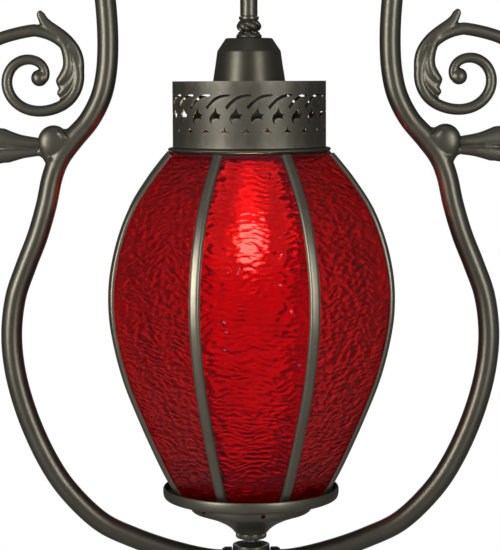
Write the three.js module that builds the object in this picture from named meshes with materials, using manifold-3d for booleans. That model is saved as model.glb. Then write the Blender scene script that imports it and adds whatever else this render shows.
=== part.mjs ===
// Sanctuary lamp: an octagonal egg lantern of bent ruby glass, seated in a pan and framed by a lyre of
// bent tube with cast scroll brackets, hung by a short stem and a swivel from a ceiling canopy.
// Millimetres, +Z up, the lyre lies in the XZ plane and the front faces -Y.
// The origin is the middle of the mounting strap's top face, against the ceiling.
import * as THREE from 'three';
import { mergeVertices } from 'three/addons/utils/BufferGeometryUtils.js';
import Module from 'manifold-3d';

const wasm = await Module();
wasm.setup();

// ---------------------------------------------------------------- driving dimensions
const GAP = 0.3;                    // clearance between pieces that touch
const LANTERN_TOP = -337;           // lantern's top edge, measured down from the ceiling
const LANTERN_TURN = 1.8;           // degrees the lantern is turned in its pan
const SIDES = 8;                    // glass panels, and ribs between them

const CANOPY_RADIUS = 65;
const CANOPY_DEPTH = 31;
const STEM_RADIUS = 6.5;
const STEM_BORE = 4.6;
const TUBE_RADIUS = 7.95;           // 5/8 inch frame tube
const TUBE_BORE = 6.4;
const SWIVEL_DROP = 66;             // cross pin, measured down from the ceiling
const PIN_RADIUS = 3;

// Everything below is measured from the lantern's top edge, z = 0 in the lamp's own group.
const HUB_TOP = 208;                // where the frame tubes meet the top hub
const HUB_BOTTOM = -365;            // where the frame tubes meet the bottom hub
const HUB_REACH = 19.3;             // half the space that each hub and its ferrules fill
const HUB_HEAD = 14.4;              // hub's top and foot, above and below its tubes' line
const HUB_FOOT = 13;

const GALLERY_RADIUS = 57.6;
const GALLERY_HEIGHT = 49;
const GALLERY_WALL = 1.2;
const MOTIFS = 23;                  // pierced wave motifs round the gallery
const MOTIF_TURN = -2.95;           // degrees from the front to the first motif
const MOTIF_DROP = -19.5;

const RIB_WIDTH = 8.8;
const RIB_DEPTH = 1.3;              // height of a rib's crown above the corner of the glass
const RIB_WEB = 1.6;
const GLASS_THICKNESS = 3;
const FLANGE_FOOT = -52.4;
const LANTERN_FOOT = -312.6;        // foot of the ribs and glass

const PAN_RADIUS = 67;
const PAN_HOLES = 6;
const PAN_HOLE_TURN = 11;           // degrees from the front to the first air hole
const CAP_TOP = 31.9;
const BULB_RADIUS = 33.5;
const BULB_CENTRE = -115;

const QUARTER = Math.PI / 2;
const radians = THREE.MathUtils.degToRad;

// ---------------------------------------------------------------- materials
const metal = (color, roughness) => new THREE.MeshStandardMaterial({ color, roughness, metalness: 0.9 });
const bronze = () => metal(0x3c3931, 0.42);
const steel = () => metal(0x8d9094, 0.45);
const brass = () => metal(0xb08d4a, 0.35);
const rubyGlass = () => new THREE.MeshStandardMaterial({
  color: 0xa30014, roughness: 0.18, metalness: 0, transparent: true, opacity: 0.75,
});
const opalGlass = () => new THREE.MeshStandardMaterial({ color: 0xf6efe2, roughness: 0.35, metalness: 0 });
const porcelain = () => new THREE.MeshStandardMaterial({ color: 0xe9e4d8, roughness: 0.4, metalness: 0 });

// ---------------------------------------------------------------- shape helpers
// Bare, welded copy of a geometry with no collapsed triangles.
function weld(geometry) {
  const bare = geometry.clone();
  for (const name of Object.keys(bare.attributes)) if (name !== 'position') bare.deleteAttribute(name);
  bare.clearGroups();
  const merged = mergeVertices(bare, 1e-4);
  const kept = [];
  const index = merged.index.array;
  for (let i = 0; i < index.length; i += 3) {
    const [a, b, c] = [index[i], index[i + 1], index[i + 2]];
    if (a !== b && b !== c && c !== a) kept.push(a, b, c);
  }
  merged.setIndex(kept);
  return merged;
}

function solid(geometry) {
  const welded = weld(geometry);
  return new wasm.Manifold(new wasm.Mesh({
    numProp: 3,
    vertProperties: new Float32Array(welded.attributes.position.array),
    triVerts: new Uint32Array(welded.index.array),
  }));
}

function surface(manifold) {
  const mesh = manifold.getMesh();
  const geometry = new THREE.BufferGeometry();
  geometry.setAttribute('position', new THREE.BufferAttribute(new Float32Array(mesh.vertProperties), 3));
  geometry.setIndex(new THREE.BufferAttribute(new Uint32Array(mesh.triVerts), 1));
  geometry.computeVertexNormals();
  return geometry;
}

const join = (...shapes) => surface(shapes.map(solid).reduce((whole, next) => whole.add(next)));
const cut = (shape, ...tools) =>
  surface(tools.map(solid).reduce((left, tool) => left.subtract(tool), solid(shape)));

// A turned body about Z from an outline of [radius, height] corners. An outline that keeps off the axis
// closes on itself. The corners may run either way round.
function turned(outline, segments = 16) {
  const closed = outline[0][0] > 0 ? [...outline, outline[0]] : outline;
  let doubleArea = 0;
  outline.forEach(([r, z], i) => {
    const [nextR, nextZ] = outline[(i + 1) % outline.length];
    doubleArea += r * nextZ - nextR * z;
  });
  const points = closed.map(([r, z]) => new THREE.Vector2(r, z));
  if (doubleArea < 0) points.reverse();
  const geometry = weld(new THREE.LatheGeometry(points, segments));
  geometry.rotateX(QUARTER);
  return geometry;
}

// A closed body through a row of rings with the same number of points, capped at both ends.
function loft(rings, outline) {
  const count = rings[0].length;
  const positions = rings.flat().flatMap((p) => [p.x, p.y, p.z]);
  const index = [];
  for (let i = 0; i < rings.length - 1; i += 1) {
    for (let j = 0; j < count; j += 1) {
      const [a, b] = [i * count + j, i * count + (j + 1) % count];
      index.push(a, b, b + count, a, b + count, a + count);
    }
  }
  const last = (rings.length - 1) * count;
  for (const [a, b, c] of THREE.ShapeUtils.triangulateShape(outline, [])) {
    index.push(c, b, a, last + a, last + b, last + c);
  }
  const geometry = new THREE.BufferGeometry();
  geometry.setAttribute('position', new THREE.Float32BufferAttribute(positions, 3));
  geometry.setIndex(volume(positions, index) < 0 ? flip(index) : index);
  geometry.computeVertexNormals();
  return geometry;
}

function flip(index) {
  const flipped = [];
  for (let i = 0; i < index.length; i += 3) flipped.push(index[i], index[i + 2], index[i + 1]);
  return flipped;
}

function volume(positions, index) {
  const corner = (i) => new THREE.Vector3().fromArray(positions, index[i] * 3);
  let total = 0;
  for (let i = 0; i < index.length; i += 3) {
    total += corner(i).dot(corner(i + 1).cross(corner(i + 2)));
  }
  return total;
}

function mirrored(geometry) {
  const copy = weld(geometry).scale(-1, 1, 1);
  copy.setIndex(flip(Array.from(copy.index.array)));
  copy.computeVertexNormals();
  return copy;
}

const inPlane = (points) => new THREE.CatmullRomCurve3(points.map(([x, z]) => new THREE.Vector3(x, 0, z)));

const circle = (radius, count, start = 0.5) => Array.from({ length: count }, (_, i) => {
  const angle = (i + start) * 2 * Math.PI / count;
  return new THREE.Vector2(radius * Math.cos(angle), radius * Math.sin(angle));
});

// A bar of oval section along a curve in the XZ plane. The widths, from start to end, lie in that plane.
function bar(points, widths, depth, steps, sides = 6) {
  const curve = inPlane(points);
  const section = circle(0.5, sides, 0);
  const rings = [];
  for (let i = 0; i <= steps; i += 1) {
    const at = curve.getPointAt(i / steps);
    const along = curve.getTangentAt(i / steps);
    const across = new THREE.Vector3(-along.z, 0, along.x);
    const place = (i / steps) * (widths.length - 1);
    const whole = Math.min(Math.floor(place), widths.length - 2);
    const width = THREE.MathUtils.lerp(widths[whole], widths[whole + 1], place - whole);
    const thick = Math.min(depth, width * 1.15);
    rings.push(section.map((p) => new THREE.Vector3(0, p.y * thick, 0)
      .addScaledVector(across, p.x * width).add(at)));
  }
  return loft(rings, section);
}

const pipe = (radius, bore, low, high, segments = 16) =>
  turned([[bore, low], [radius, low], [radius, high], [bore, high]], segments);

const rod = (radius, length, axis, segments = 12) => {
  const geometry = new THREE.CylinderGeometry(radius, radius, length, segments);
  if (axis === 'x') geometry.rotateZ(QUARTER);
  if (axis === 'z') geometry.rotateX(QUARTER);
  return geometry;
};

const box = (x, y, z, cx, cy, cz) => new THREE.BoxGeometry(x, y, z).translate(cx, cy, cz);

// ---------------------------------------------------------------- ceiling fitting
// Flat steel bar against the ceiling, with two slots for the ceiling screws and a solid middle.
function mountingStrap() {
  const slots = [-30, 30].map((x) => box(12, 4.5, 8, x, 0, -1.2));
  return cut(box(92, 20, 2.4, 0, 0, -1.2), ...slots);
}

const NIPPLE_RADIUS = 5;
const canopyNipple = () => pipe(NIPPLE_RADIUS, 3, -44, -2.4 - GAP, 16);

function canopyDish() {
  const wall = 1.2;
  const hole = NIPPLE_RADIUS + GAP;
  return turned([
    [CANOPY_RADIUS, 0], [CANOPY_RADIUS, -4], [60, -11], [42, -19.6], [25, -25.5], [16, -CANOPY_DEPTH],
    [hole, -CANOPY_DEPTH], [hole, -CANOPY_DEPTH + wall], [15.2, -CANOPY_DEPTH + wall], [24.4, -24.3],
    [41.4, -18.4], [58.9, -10.1], [CANOPY_RADIUS - wall, -3.7], [CANOPY_RADIUS - wall, 0],
  ], 28);
}

// Nut and swivel bearing in one turned piece, screwed up the nipple against the dish.
const BEARING_TOP = -CANOPY_DEPTH - GAP;
function swivelBearing() {
  const bore = NIPPLE_RADIUS + GAP;
  return turned([
    [13, BEARING_TOP], [13.6, -34], [11.5, -38], [11.5, -52], [6.3, -52], [6.3, -49.6], [9.3, -49.6],
    [9.3, -44.6], [bore, -44.6], [bore, BEARING_TOP],
  ]);
}

// Fork that turns in the bearing: a flanged hollow stud above two ears.
function swivelFork() {
  const stud = turned([
    [6, -56], [6, -49.3], [9, -49.3], [9, -46], [2.5, -46], [2.5, -56],
  ], 12);
  const plate = turned([[11.5, -57.5], [11.5, -52.5], [2.5, -52.5], [2.5, -57.5]], 12);
  const ears = [-1, 1].map((side) => join(
    box(3.4, 14, SWIVEL_DROP - 55, side * 8.7, 0, -(55 + SWIVEL_DROP) / 2),
    rod(7, 3.4, 'x', 12).translate(side * 8.7, 0, -SWIVEL_DROP),
  ));
  return cut(join(stud, plate, ...ears), rod(PIN_RADIUS + GAP, 30, 'x').translate(0, 0, -SWIVEL_DROP));
}

const swivelPin = () => join(
  rod(PIN_RADIUS, 22.8, 'x').translate(0, 0, -SWIVEL_DROP),
  rod(4.8, 1.6, 'x').translate(-11.5, 0, -SWIVEL_DROP),
  rod(4.2, 1.4, 'x').translate(11.4, 0, -SWIVEL_DROP),
);

// ---------------------------------------------------------------- stem, hubs and frame
// Eye between the fork's ears, with the collar that the stem screws into.
function stemEye() {
  const eye = rod(7, 13.2, 'x', 16).translate(0, 0, -SWIVEL_DROP);
  const neck = box(13.2, 10, 12, 0, 0, -SWIVEL_DROP - 7);
  const collar = turned([[0, -87], [8.6, -87], [9.2, -84], [8.4, -80], [7.6, -77], [0, -77]]);
  return cut(join(eye, neck, collar), rod(PIN_RADIUS + GAP, 30, 'x').translate(0, 0, -SWIVEL_DROP));
}

// Turned hub with a flat pad each side for the frame tubes' ferrules.
function hub(height, bore) {
  const turnedPart = turned([
    [bore, height + HUB_HEAD], [7, height + HUB_HEAD], [10.2, height + 12], [14.1, height + 12],
    [14.1, height - 5], [11.4, height - 9.5], [8, height - HUB_FOOT], [bore, height - HUB_FOOT],
  ]);
  const shoulders = box(2 * HUB_REACH - 10, 14, 14, 0, 0, height);
  const passage = rod(bore, 40, 'z', 16).translate(0, 0, height);
  return cut(join(turnedPart, shoulders), passage);
}

// Ferrule round the end of a frame tube, closed by the hub's pad.
function ferrule(height) {
  const bore = TUBE_RADIUS + 1.5 * GAP;
  const sleeve = turned([
    [bore, 0], [9.9, 0], [9.9, 6], [9.3, 7.5], [bore, 7.5],
  ]);
  return cut(sleeve.rotateY(QUARTER).translate(HUB_REACH - 5 + GAP, 0, height), tubeTool());
}

// One side of the lyre, from the top hub round the knuckle's bend and the belly to the bottom hub.
const FRAME_ROUTE = [
  [HUB_REACH - 4, HUB_TOP], [26, HUB_TOP], [47, 205], [79, 191], [103, 163], [113.5, 128], [112, 95],
  [107.1, 60], [105.6, 29], [107.1, 6], [111.3, -11.6], [120.6, -29.3], [133, -43.5], [142.3, -56],
  [148.3, -70.6], [153.4, -93], [160.3, -116], [169.4, -139], [177.3, -161.5], [180.9, -190],
  [178.6, -219], [169.6, -253], [154.3, -288], [139.2, -311], [113.7, -335.8], [90, -347.4],
  [67.8, -355.6], [42, -362.6], [27, HUB_BOTTOM], [HUB_REACH - 4, HUB_BOTTOM],
];

const alongFrame = (shape) => new THREE.ExtrudeGeometry(shape, {
  steps: 36, extrudePath: inPlane(FRAME_ROUTE), bevelEnabled: false,
});

function frameTube() {
  const shape = new THREE.Shape(circle(TUBE_RADIUS, 10));
  shape.holes.push(new THREE.Path(circle(TUBE_BORE, 5)));
  return alongFrame(shape);
}

// Solid bar along the same route, a little stouter than the tube, that fits another piece round it.
const tubeTool = () => alongFrame(new THREE.Shape(circle(TUBE_RADIUS + 1.5 * GAP, 10)));

const KNUCKLE = [147.2, -45];
const ARM_START = 159.3;

// Lens-shaped boss welded to the outer side of the bend, with a web up to the tube.
function knuckle() {
  const [x, z] = KNUCKLE;
  const boss = new THREE.SphereGeometry(1, 12, 8).scale(11.9, 8.8, 12.6).translate(x, 0, z);
  const web = bar([[x - 10, z + 4], [x - 4, z + 1], [x + 1, z - 2]], [13, 17, 14], 12, 3);
  const foot = bar([[x + 4, z - 6], [x + 2, z - 13], [x + 1, z - 19]], [13, 8, 5], 11, 3);
  const face = box(10, 30, 30, ARM_START + 5 - GAP, 0, z);
  return cut(join(boss, web, foot), tubeTool(), face);
}

// ---------------------------------------------------------------- cast scroll brackets
const SCROLL_EYE = [161, 1.7];
const SCROLL_RADII = [36.6, 33, 24.7, 21.2, 14, 7];   // centreline, at each quarter turn from the top
const SCROLL_BANDS = [12, 11, 9, 9, 9, 9, 8.8, 8.4, 8, 8, 7.5, 7];   // band's width, from calyx to eye
const CALYX = [200, -38];
const ARM_HEIGHT = -49.5;

// Route of the C-scroll: over its back from the calyx, then spiralling in to the eye.
function scrollRoute() {
  const back = [
    [176, -47], [188, -44.5], CALYX, [209, -25], [212, -8], [208.5, 10], [199, 24], [187.5, 31.8],
  ];
  const radius = new THREE.SplineCurve(SCROLL_RADII.map((r, quarter) => new THREE.Vector2(quarter, r)));
  const spiral = [];
  const stops = 4 * (SCROLL_RADII.length - 1);
  for (let i = 0; i <= stops; i += 1) {
    const angle = QUARTER * (1 + i / 4);
    const r = radius.getPoint(i / stops).y;
    spiral.push([SCROLL_EYE[0] + r * Math.cos(angle), SCROLL_EYE[1] + r * Math.sin(angle)]);
  }
  return [...back, ...spiral];
}

function scrollBracket() {
  const z = ARM_HEIGHT;
  const band = bar(scrollRoute(), SCROLL_BANDS, 9, 40);
  const eye = new THREE.SphereGeometry(6, 8, 6).translate(SCROLL_EYE[0] - 3.2, 0, SCROLL_EYE[1] + 0.4);
  const upperArm = bar([
    [ARM_START + GAP, z + 3.4], [175, z + 4.9], [188, z + 7.8], CALYX,
  ], [7.4, 10.6, 15.4, 11], 10, 5);
  const lowerArm = bar([
    [ARM_START + GAP, z - 2.2], [175, z - 3.7], [188, z - 6.1], [200, z - 12.5], [209, z - 24],
    [210, z - 37], [202, z - 45], [193.5, z - 42], [193, z - 34.5],
  ], [6, 8.4, 12.6, 9, 7.5, 7, 6.5, 6, 6], 10, 18);
  const volute = new THREE.SphereGeometry(4.6, 8, 6).translate(194.5, 0, z - 34);
  const leaf = bar([
    [158.8, 51.5], [157, 45.5], [148.5, 40], [137.5, 31], [130.6, 16], [131.6, 0], [139.5, -12.5],
    [148, -19],
  ], [4, 5.5, 8, 11.5, 15.2, 15.5, 10, 5], 10, 14);
  const lobes = [
    bar([[134, 18], [139, 6], [146, -1.5]], [8, 8.5, 5.5], 9, 4),
    bar([[132, 6], [138, -5], [146, -10.5]], [8, 8, 5], 9, 4),
  ];
  return join(band, eye, upperArm, lowerArm, volute, leaf, ...lobes);
}

// ---------------------------------------------------------------- socket, cap and bulb
function socketCap() {
  const wall = 1.2;
  const hole = 4.9;
  return turned([
    [hole, CAP_TOP], [17.2, CAP_TOP], [23.7, 22], [26.9, 1.5], [28.5, -12], [31, -15.5], [38, -19.5],
    [43.5, -24.5], [45, -30], [45 - wall, -30], [42.4, -25.1], [37.2, -20.4], [30.1, -16.4],
    [28.5 - wall, -12.4], [26.9 - wall, 1.4], [22.6, 21.3], [16.6, CAP_TOP - wall],
    [hole, CAP_TOP - wall],
  ], 24);
}

const twistCoupling = () => turned([
  [4.9, CAP_TOP + GAP], [9.8, CAP_TOP + GAP], [9.8, 33.6], [8.3, 36.6], [9.4, 39], [9.4, 43], [7.5, 45.6],
  [7.5, 48], [4.9, 48],
]);

// Threaded tube through the cap and coupling: the socket's hanger.
const socketNipple = () => pipe(4.6, 3, 17, 48, 12);

const socketShell = () => turned([
  [5, 16.7], [14, 16.7], [19.5, 13], [19.5, -42], [17.6, -42], [17.6, 9.5], [5, 9.5],
]);
const socketLiner = () => turned([
  [17.3, -40], [17.3, 9], [2, 9], [2, 6], [13.9, 6], [13.9, -40],
]);
const bulbBase = () => turned([[0, -14], [4.5, -14], [7, -18], [13.2, -20], [13.2, -40], [0, -40]]);

function bulbGlass() {
  const outline = [[0, -40 - GAP], [12.8, -40 - GAP], [14.5, -56], [21, -75]];
  for (let degrees = 30; degrees > -90; degrees -= 20) {
    const angle = radians(degrees);
    outline.push([BULB_RADIUS * Math.cos(angle), BULB_CENTRE + BULB_RADIUS * Math.sin(angle)]);
  }
  return turned([...outline, [0, BULB_CENTRE - BULB_RADIUS]]);
}

// ---------------------------------------------------------------- pan and its fastenings
// Spun pan: a rolled lip, a tier below it with plain air holes, and a flared foot.
function pan() {
  const bowl = turned([
    [65.6, -307.3], [66.9, -308.6], [PAN_RADIUS, -312.6], [66.2, -315.5], [63, -317], [48, -319],
    [47.2, -319.8], [46.7, -324], [45.2, -326.2], [40, -328], [30, -331.6], [24.7, -334.2],
    [20.9, -336.1], [17, -338.7], [14, -341.4], [12.8, -343.1], [5.3, -343.1], [5.3, -336], [16, -336],
    [23.8, -332.8], [29.4, -330.1], [39.4, -326.5], [44.4, -324.9], [45.3, -323.8], [45.8, -318.4],
    [48, -317.6], [62.6, -315.6], [65, -314.5], [65.6, -312], [65.4, -309],
  ], 32);
  const drills = Array.from({ length: PAN_HOLES }, (_, i) => rod(1.7, 10, 'x', 8).translate(46, 0, -322)
    .rotateZ(-QUARTER + radians(PAN_HOLE_TURN + i * 360 / PAN_HOLES)));
  return cut(bowl, ...drills);
}

const panCollar = () => turned([
  [5.3, -343.4], [11.2, -343.4], [11.8, -344.2], [11.8, -346.8], [10.8, -347.9], [5.3, -347.9],
]);
const panNipple = () => pipe(5, 2.6, -375, -328, 16);
const panNut = () => cut(rod(10.5, 5, 'z', 6), rod(5.3, 8, 'z', 16)).translate(0, 0, -333.2);

// Turned drop below the bottom hub, screwed on to the nipple.
const finial = () => turned([
  [5.3, -378.4], [9.6, -378.4], [11, -380.4], [9.8, -382.6], [6.6, -384.6], [6, -387], [9.4, -390],
  [12.4, -394.6], [12.8, -399], [10.4, -404], [6.6, -407], [5.2, -409.4], [3.6, -412.4], [0, -413.4],
  [0, -390], [5.3, -390],
]);

// ---------------------------------------------------------------- lantern
// Outer line of the ribs, as [radius at the corner, height].
const MERIDIAN = inPlane([
  [66.7, FLANGE_FOOT - GAP], [73.2, -60], [83, -72], [97.2, -93], [106.8, -116], [112.9, -142],
  [114.2, -163], [112.3, -184], [103.8, -219], [90.3, -253], [74.2, -288], [67.9, -300],
  [60.4, LANTERN_FOOT],
]);

// Point on the rib line, moved inward by an inset, and the outward direction there.
function meridian(part, inset) {
  const at = MERIDIAN.getPointAt(part);
  const along = MERIDIAN.getTangentAt(part);
  const out = new THREE.Vector3(-along.z, 0, along.x);
  return { at: at.clone().addScaledVector(out, -inset), out };
}

// Low crowned strip folded over the joint of two panels, with a web between their edges.
function rib() {
  const steps = 14;
  const edge = RIB_WIDTH / 2;
  const web = RIB_WEB / 2;
  const side = [[edge, -1.2], [edge, -0.65], [edge * 0.6, RIB_DEPTH * 0.45]];
  const outline = [
    [web, -2.6], [web, -0.2], ...side, [0, RIB_DEPTH],
    ...side.map(([x, y]) => [-x, y]).reverse(), [-web, -0.2], [-web, -2.6],
  ].map(([x, y]) => new THREE.Vector2(x, y));
  const rings = [];
  for (let i = 0; i <= steps; i += 1) {
    const { at, out } = meridian(i / steps, RIB_DEPTH);
    rings.push(outline.map((p) => new THREE.Vector3(0, p.x, 0).addScaledVector(out, p.y).add(at)));
  }
  return loft(rings, outline);
}

// Panel of bent glass: flat across, curved down its length, its edges under the ribs.
function glassPanel() {
  const steps = 14;
  const halfTurn = Math.PI / SIDES;
  const outline = [[-1, -1], [1, -1], [1, 1], [-1, 1]].map(([x, y]) => new THREE.Vector2(x, y));
  const rings = [];
  for (let i = 0; i <= steps; i += 1) {
    const { at, out } = meridian(i / steps, RIB_DEPTH + 0.25);
    const middle = new THREE.Vector3(at.x * Math.cos(halfTurn), 0, at.z);
    const half = at.x * Math.sin(halfTurn) - RIB_WEB / 2 - 0.5;
    rings.push(outline.map(({ x, y }) => new THREE.Vector3(0, x * (y > 0 ? half : half - 1.3), 0)
      .addScaledVector(out, y > 0 ? 0 : -GLASS_THICKNESS).add(middle)));
  }
  return loft(rings, outline);
}

// Corner points of one pierced motif, in millimetres along and up the gallery from its own place.
const MOTIF = {
  blade: [[-0.8, 1.1], [0.8, -1.2], [6.6, 4.7], [18.4, 9], [5.6, 7]],
  wing: [[7.2, 0.8], [2.4, -6], [4.6, -11.9], [6.6, -7.4], [11.6, -6.2]],
  spur: [[14.4, -13.4], [10.4, -18], [18.2, -18]],
};

// Cutter through the gallery's wall with the outline of one opening, curved to the wall.
function gallerySlot(corners, turn) {
  const shape = new THREE.Shape(corners.map(([x, y]) => new THREE.Vector2(x, y)));
  const cutter = new THREE.ExtrudeGeometry(shape, { depth: 6, steps: 1, bevelEnabled: false });
  const place = cutter.attributes.position;
  for (let i = 0; i < place.count; i += 1) {
    const angle = radians(turn) + place.getX(i) / GALLERY_RADIUS;
    const r = GALLERY_RADIUS - 4 + place.getZ(i);
    place.setXYZ(i, r * Math.sin(angle), -r * Math.cos(angle), MOTIF_DROP + place.getY(i));
  }
  return cutter;
}

function gallery() {
  const inner = GALLERY_RADIUS - GALLERY_WALL;
  const band = turned([
    [inner, -GALLERY_HEIGHT], [GALLERY_RADIUS, -GALLERY_HEIGHT], [GALLERY_RADIUS, 0], [inner, 0],
  ], MOTIFS);
  const slots = [];
  for (let i = 0; i < MOTIFS; i += 1) {
    const turn = MOTIF_TURN + 360 * i / MOTIFS;
    slots.push(...Object.values(MOTIF).map((corners) => gallerySlot(corners, turn)));
  }
  return cut(band, ...slots);
}

// Beaded flange that the gallery stands on, over the heads of the ribs.
const galleryFlange = () => turned([
  [52, -GALLERY_HEIGHT - GAP], [60, -GALLERY_HEIGHT - GAP], [61.2, -50.2], [61.2, -51.4],
  [60, FLANGE_FOOT], [52, FLANGE_FOOT],
], 32);

// Rings inside the heads and feet of the panels.
const headRing = () => turned([
  [51.5, FLANGE_FOOT - GAP], [55.6, FLANGE_FOOT - GAP], [57, -55.6], [55, -58.6], [51.5, -58.6],
], 24);
const footRing = () => turned([
  [49, -313], [57.5, -313], [57.5, -315.6], [56, -316.2], [49, -317],
], 24);

// ---------------------------------------------------------------- assembly
const whole = new THREE.Group();
const ceiling = new THREE.Group();
const lamp = new THREE.Group();
const lantern = new THREE.Group();
lamp.position.z = LANTERN_TOP;
lantern.rotation.z = radians(LANTERN_TURN);
lamp.add(lantern);
whole.add(ceiling, lamp);

function add(group, name, geometry, material) {
  const mesh = new THREE.Mesh(geometry, material);
  mesh.name = name;
  group.add(mesh);
  return mesh;
}

// The same casting or tube on both sides of the lyre.
function addPair(name, geometry) {
  add(lamp, `${name}_right`, geometry, bronze());
  add(lamp, `${name}_left`, mirrored(geometry), bronze());
}

add(ceiling, 'mounting_strap', mountingStrap(), steel());
add(ceiling, 'canopy_nipple', canopyNipple(), steel());
add(ceiling, 'canopy_dish', canopyDish(), bronze());
add(ceiling, 'swivel_bearing', swivelBearing(), bronze());
add(ceiling, 'swivel_fork', swivelFork(), bronze());
add(ceiling, 'swivel_pin', swivelPin(), steel());
add(ceiling, 'stem_eye', stemEye(), bronze());
const hubHead = LANTERN_TOP + HUB_TOP + HUB_HEAD;
add(ceiling, 'upper_stem', pipe(STEM_RADIUS, STEM_BORE, hubHead + GAP, -87 - GAP), bronze());

add(lamp, 'top_hub', hub(HUB_TOP, 4), bronze());
add(lamp, 'bottom_hub', hub(HUB_BOTTOM, 5.3), bronze());
addPair('top_ferrule', ferrule(HUB_TOP));
addPair('bottom_ferrule', ferrule(HUB_BOTTOM));
addPair('frame_tube', frameTube());
addPair('knuckle', knuckle());
addPair('scroll_bracket', scrollBracket());

add(lamp, 'inner_stem', pipe(STEM_RADIUS, STEM_BORE, 48 + GAP, HUB_TOP - HUB_FOOT - GAP), bronze());
add(lamp, 'twist_coupling', twistCoupling(), bronze());
add(lamp, 'socket_cap', socketCap(), bronze());
add(lamp, 'socket_nipple', socketNipple(), steel());
add(lamp, 'socket_shell', socketShell(), porcelain());
add(lamp, 'socket_liner', socketLiner(), brass());
add(lamp, 'bulb_base', bulbBase(), brass());
add(lamp, 'bulb_glass', bulbGlass(), opalGlass());

add(lamp, 'pan', pan(), bronze());
add(lamp, 'pan_nut', panNut(), steel());
add(lamp, 'pan_collar', panCollar(), bronze());
add(lamp, 'pan_nipple', panNipple(), steel());
add(lamp, 'finial', finial(), bronze());

add(lantern, 'gallery', gallery(), bronze());
add(lantern, 'gallery_flange', galleryFlange(), bronze());
add(lantern, 'head_ring', headRing(), bronze());
add(lantern, 'foot_ring', footRing(), bronze());
for (let i = 0; i < SIDES; i += 1) {
  const panel = add(lantern, `glass_panel_${i + 1}`, glassPanel(), rubyGlass());
  panel.rotation.z = -QUARTER + i * 2 * Math.PI / SIDES;
  const strip = add(lantern, `rib_${i + 1}`, rib(), bronze());
  strip.rotation.z = -QUARTER + (i + 0.5) * 2 * Math.PI / SIDES;
}

export default whole;
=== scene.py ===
"""Sanctuary lamp: finished surfaces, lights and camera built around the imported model.

Outlines and routes are in millimetres. The lamp's own heights are measured from the lantern's top edge.
"""
import math

import bmesh
import bpy
import numpy as np
from mathutils import Matrix, Vector, geometry, noise


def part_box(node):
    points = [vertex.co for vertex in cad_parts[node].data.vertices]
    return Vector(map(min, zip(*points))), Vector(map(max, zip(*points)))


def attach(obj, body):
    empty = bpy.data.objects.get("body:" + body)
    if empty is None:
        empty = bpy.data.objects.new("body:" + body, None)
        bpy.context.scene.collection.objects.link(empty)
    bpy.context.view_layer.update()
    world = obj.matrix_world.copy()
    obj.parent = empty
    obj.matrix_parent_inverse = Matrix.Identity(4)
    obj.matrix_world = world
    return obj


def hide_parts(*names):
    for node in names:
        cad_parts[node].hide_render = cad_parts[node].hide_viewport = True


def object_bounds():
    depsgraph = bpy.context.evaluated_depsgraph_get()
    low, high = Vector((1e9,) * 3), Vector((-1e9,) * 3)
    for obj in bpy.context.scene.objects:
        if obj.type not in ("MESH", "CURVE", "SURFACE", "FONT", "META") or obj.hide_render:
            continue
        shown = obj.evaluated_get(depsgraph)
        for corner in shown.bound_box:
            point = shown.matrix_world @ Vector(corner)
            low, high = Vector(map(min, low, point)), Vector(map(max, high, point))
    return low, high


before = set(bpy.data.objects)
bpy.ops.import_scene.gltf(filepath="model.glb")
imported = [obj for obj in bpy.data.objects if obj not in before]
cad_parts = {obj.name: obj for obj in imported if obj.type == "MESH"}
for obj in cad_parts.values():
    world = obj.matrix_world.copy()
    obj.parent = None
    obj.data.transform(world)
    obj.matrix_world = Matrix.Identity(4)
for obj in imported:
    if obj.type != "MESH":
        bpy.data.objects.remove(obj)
cad_box = [list(corner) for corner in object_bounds()]
scene = bpy.context.scene

MM = 0.001
LANTERN_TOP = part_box("gallery")[1].z / MM      # height of the lantern's top edge
LANTERN_TURN = math.radians(1.8)               # small turn of the lantern in its pan
SIDES = 8
TUBE_RADIUS = 7.95
STEM_RADIUS = 6.5
HUB_TOP = 208.0
HUB_BOTTOM = -365.0
HUB_REACH = 19.3                               # from the hub's axis to the end of its side sockets
HUB_HEAD = 14.4
BULB_RADIUS = 33.5
BULB_CENTRE = -115.0
BULB_GLOW = 0.18
CORE_GLOW = 300.0


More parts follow.
